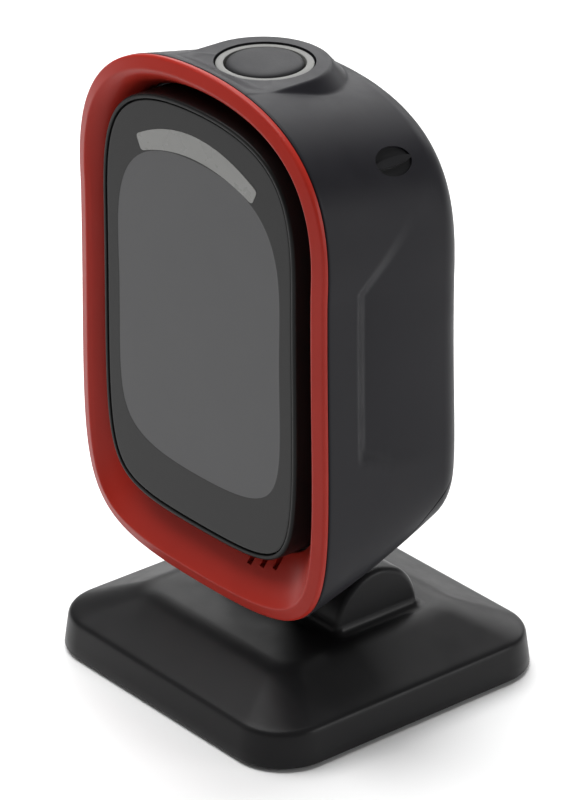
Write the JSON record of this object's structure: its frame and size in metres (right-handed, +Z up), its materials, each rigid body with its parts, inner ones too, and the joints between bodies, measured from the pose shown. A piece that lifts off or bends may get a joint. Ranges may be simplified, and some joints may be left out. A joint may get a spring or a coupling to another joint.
{
  "type": "presentation barcode scanner",
  "caption": "Upright hands-free barcode scanner: arched head with a red front ring, smoked window and top button, tilting on a square weighted base.",
  "frame": {"origin": "centre of the base's footprint, at the soles of the rubber feet", "axes": "+Z up; the scan window faces -Y; +X is to the right seen from the front; the tilt hinge runs along X"},
  "size_m": [0.085, 0.0824, 0.1514],
  "materials": {
    "housing_plastic": "fine grained charcoal moulding",
    "button_plastic": "fine textured charcoal cap",
    "red_ring": "satin red moulding",
    "frame_plastic": "satin black moulding",
    "scan_window": "hard-coated smoked acrylic with a printed border",
    "light_guide": "milky translucent acrylic",
    "light_ring": "milky grey translucent ring",
    "neck_plastic": "black glass-filled nylon",
    "base_plastic": "satin black moulding",
    "underside_plastic": "black moulding",
    "ballast_iron": "plain cast weight",
    "hinge_steel": "ground steel",
    "screw_steel": "zinc-plated steel",
    "hinge_nylon": "natural nylon",
    "plug_plastic": "black moulding",
    "circuit_board": "green solder mask on glass-fibre board",
    "shield_metal": "tinned steel can",
    "inner_plastic": "black moulding",
    "lens_glass": "coated lens",
    "lamp_resin": "clear yellowish resin",
    "socket_plastic": "black socket moulding",
    "flex_film": "amber film",
    "wire_red": "red insulation",
    "wire_black": "black insulation",
    "foot_rubber": "soft black rubber"
  },
  "bodies": {
    "base": {"ballast_weight": "ballast_iron", "base_bottom_plate": "underside_plastic", "base_screw_front_left": "screw_steel", "base_screw_front_right": "screw_steel", "base_screw_rear_left": "screw_steel", "base_screw_rear_right": "screw_steel", "base_shell": "base_plastic", "clamp_screw_left_front": "screw_steel", "clamp_screw_left_rear": "screw_steel", "clamp_screw_right_front": "screw_steel", "clamp_screw_right_rear": "screw_steel", "friction_washer_left": "hinge_nylon", "friction_washer_right": "hinge_nylon", "hinge_shaft": "hinge_steel", "rubber_foot_front_left": "foot_rubber", "rubber_foot_front_right": "foot_rubber", "rubber_foot_rear_left": "foot_rubber", "rubber_foot_rear_right": "foot_rubber", "shaft_clamp_left": "hinge_nylon", "shaft_clamp_right": "hinge_nylon", "spring_washer_left": "hinge_steel", "spring_washer_right": "hinge_steel"},
    "head": {"bottom_cover": "housing_plastic", "button_board": "circuit_board", "button_flex": "flex_film", "button_light_ring": "light_ring", "cable_socket": "socket_plastic", "camera_bracket": "inner_plastic", "camera_lens": "lens_glass", "front_bezel": "red_ring", "housing_screw_lower_left": "screw_steel", "housing_screw_lower_right": "screw_steel", "housing_screw_upper_left": "screw_steel", "housing_screw_upper_right": "screw_steel", "illumination_board": "circuit_board", "illumination_flex": "flex_film", "illumination_led_1": "lamp_resin", "illumination_led_2": "lamp_resin", "illumination_led_3": "lamp_resin", "illumination_led_4": "lamp_resin", "lens_barrel": "inner_plastic", "main_board": "circuit_board", "processor_shield": "shield_metal", "rear_housing": "housing_plastic", "scan_window": "scan_window", "sensor_board": "circuit_board", "side_plug_left": "plug_plastic", "side_plug_right": "plug_plastic", "speaker": "inner_plastic", "speaker_wire_minus": "wire_black", "speaker_wire_plus": "wire_red", "status_light_guide": "light_guide", "tact_switch": "shield_metal", "tilt_neck": "neck_plastic", "window_frame": "frame_plastic"},
    "button": {"button_cap": "button_plastic"}
  },
  "joints": [
    {"name": "head_tilt", "type": "hinge", "parent": "base", "child": "head", "pos_m": [0, 0.006, 0.0166], "axis": [1, 0, 0], "range_deg": [-30, 15]},
    {"name": "button_press", "type": "slide", "parent": "head", "child": "button", "axis": [0, 0, -1], "range_m": [0, 0.001], "stiffness_N_per_m": 1000, "springref_m": -0.0008}
  ]
}
